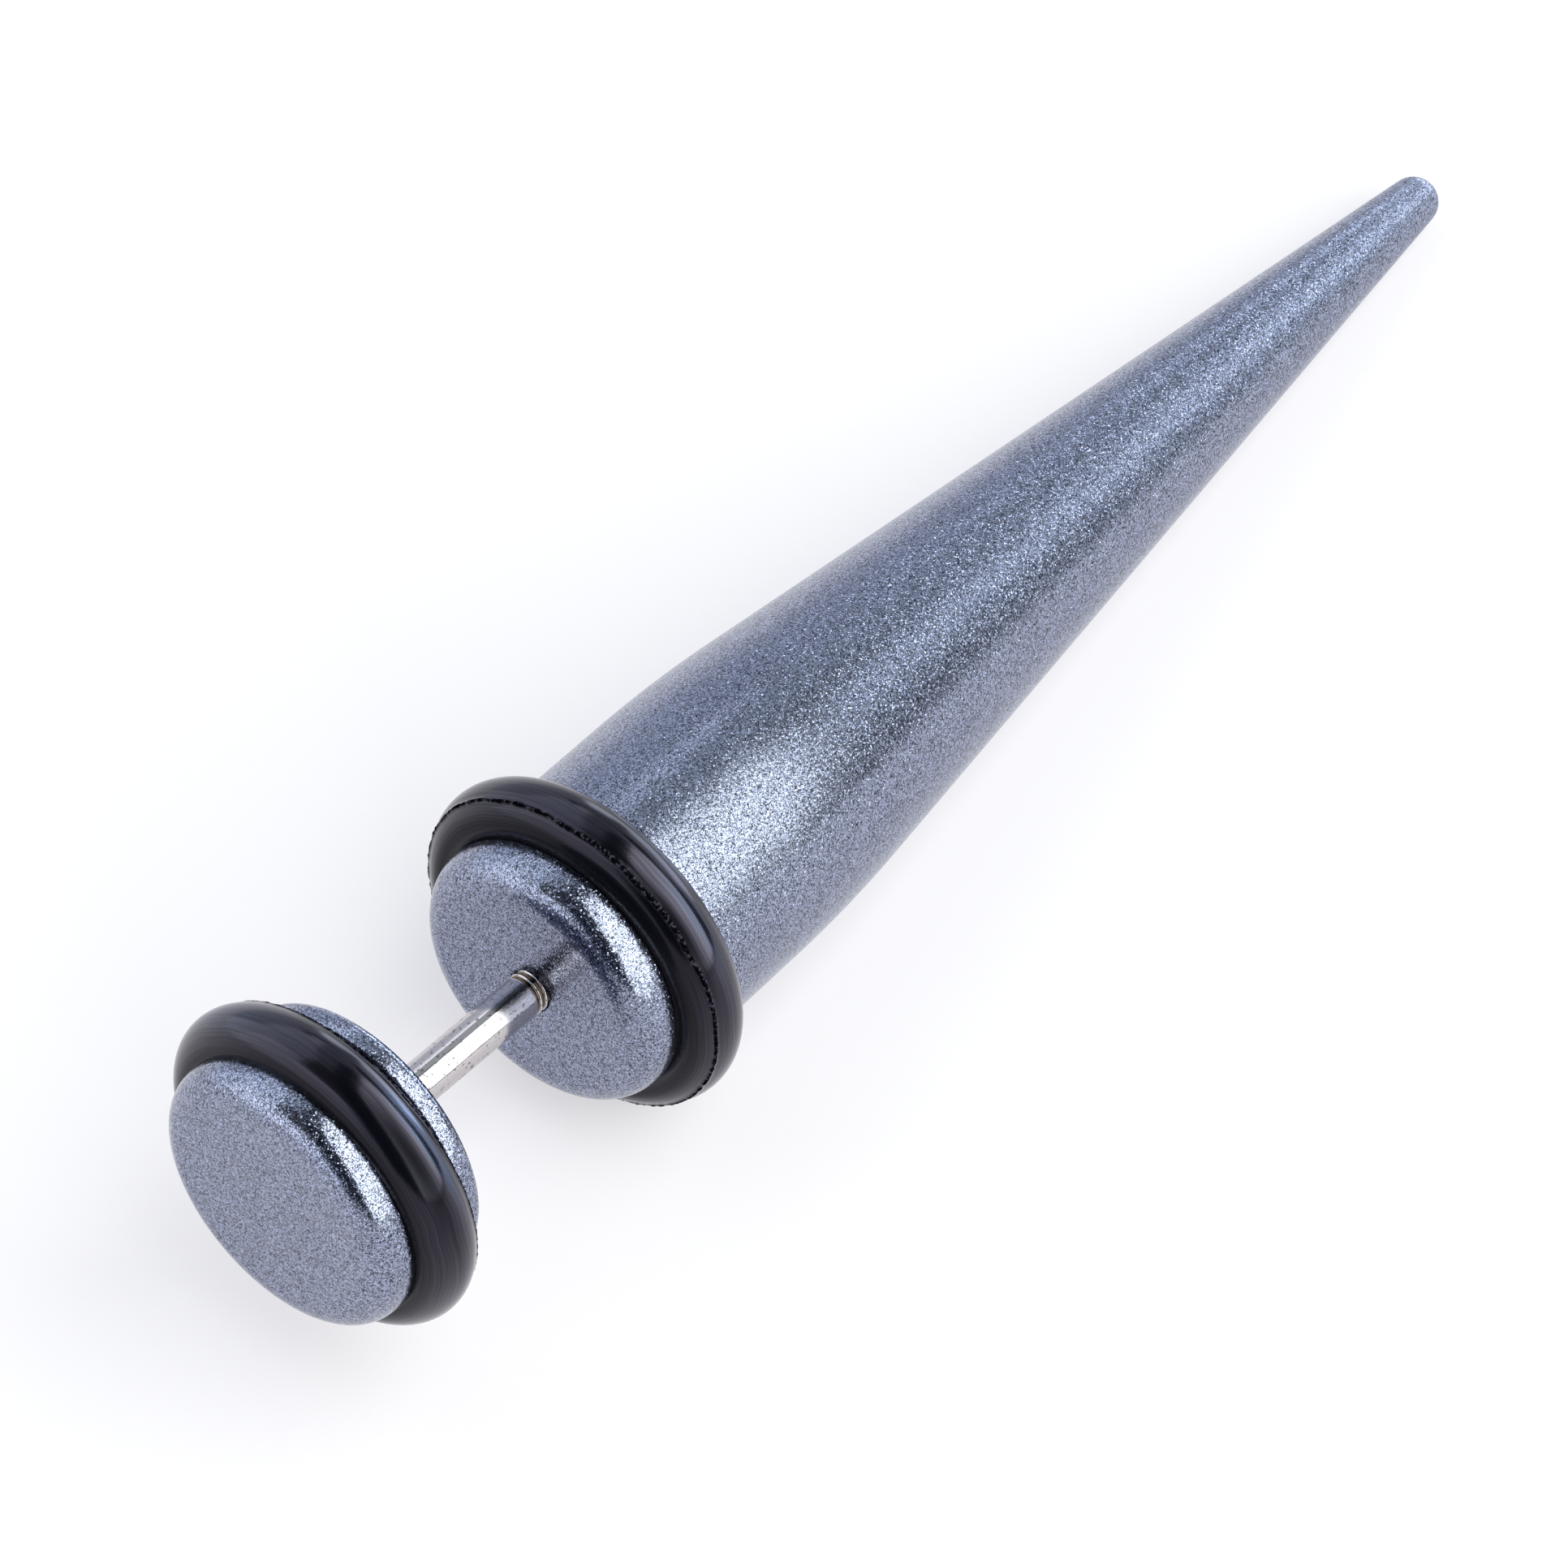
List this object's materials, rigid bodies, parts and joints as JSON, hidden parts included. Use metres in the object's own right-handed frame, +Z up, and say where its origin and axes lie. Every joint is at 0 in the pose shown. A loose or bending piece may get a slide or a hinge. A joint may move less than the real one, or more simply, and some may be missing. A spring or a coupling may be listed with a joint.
{
  "type": "faux taper earring",
  "caption": "Faux stretching taper earring: a long rounded cone and a short round back on a thin screw post, each with a rubber ring in its groove.",
  "frame": {"origin": "centre of the footprint on the surface that the earring lies on, under the middle of its length", "axes": "+X along the length, from the back towards the nose of the taper; +Z up from the surface; +Y completes a right-handed frame"},
  "size_m": [0.0538, 0.0102, 0.0111],
  "materials": {
    "coat": "acrylic with a blue-grey metallic speckled coat, satin",
    "ring_rubber": "smooth black rubber with a faint mould flash line",
    "post_steel": "polished stainless steel with fine drawing marks"
  },
  "bodies": {
    "front": {"taper": "coat", "taper_ring": "ring_rubber"},
    "back": {"post": "post_steel", "back_disc": "coat", "back_ring": "ring_rubber"}
  },
  "joints": [
    {"name": "back_travel", "type": "slide", "parent": "front", "child": "back", "axis": [-0.994, 0.0278, 0.1054], "range_m": [-0.00035, 0.012]}
  ]
}
